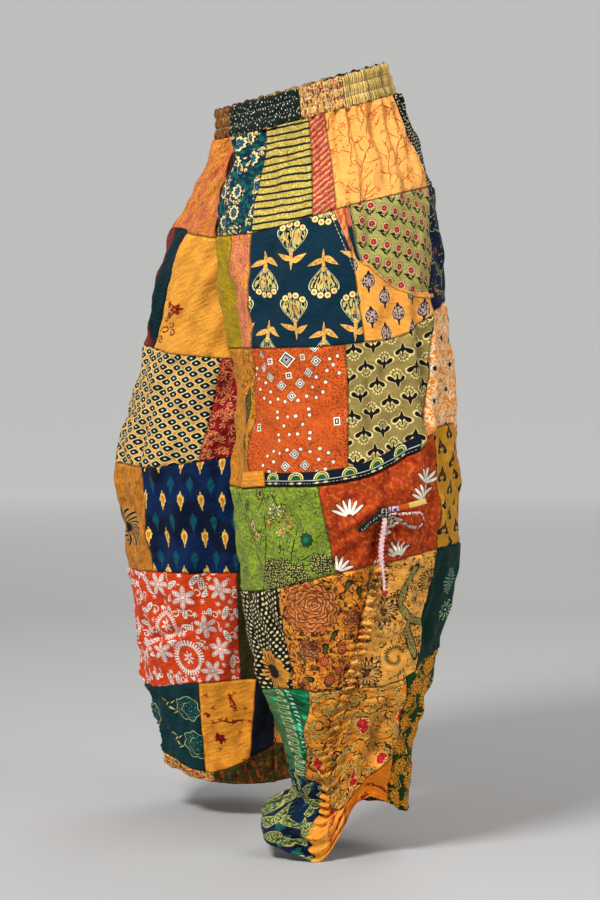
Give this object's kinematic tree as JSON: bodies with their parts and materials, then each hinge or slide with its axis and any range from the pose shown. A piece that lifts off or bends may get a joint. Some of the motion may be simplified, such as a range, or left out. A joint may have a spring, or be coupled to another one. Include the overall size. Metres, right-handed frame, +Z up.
{
  "type": "wide-leg drawstring pants",
  "caption": "Wide-leg patchwork cotton pants with a gathered elastic waistband and a drawstring channel tied in a bow on each shin.",
  "frame": {"origin": "middle of the waist opening, halfway up the waistband", "axes": "+Z up along the wearer, the front faces -Y, the wearer's left is +X"},
  "size_m": [0.6333, 0.3151, 1.0183],
  "materials": {
    "patchwork_cotton": "matte",
    "gathered_waistband": "matte",
    "block_print_facing": "matte",
    "navy_band": "matte",
    "drawstring_tape": "matte"
  },
  "bodies": {
    "root": {"left_back_lower": "patchwork_cotton", "left_back_upper": "patchwork_cotton", "left_drawstring_back_loop": "drawstring_tape", "left_drawstring_channel": "patchwork_cotton", "left_drawstring_front_loop": "drawstring_tape", "left_drawstring_knot": "drawstring_tape", "left_drawstring_long_end": "drawstring_tape", "left_drawstring_short_end": "drawstring_tape", "left_front_lower": "patchwork_cotton", "left_front_upper": "patchwork_cotton", "left_knee_band": "navy_band", "left_pocket_facing": "block_print_facing", "right_back_lower": "patchwork_cotton", "right_back_upper": "patchwork_cotton", "right_drawstring_back_loop": "drawstring_tape", "right_drawstring_channel": "patchwork_cotton", "right_drawstring_front_loop": "drawstring_tape", "right_drawstring_knot": "drawstring_tape", "right_drawstring_long_end": "drawstring_tape", "right_drawstring_short_end": "drawstring_tape", "right_front_lower": "patchwork_cotton", "right_front_upper": "patchwork_cotton", "right_pocket_facing": "block_print_facing", "waistband": "gathered_waistband"}
  },
  "joints": []
}
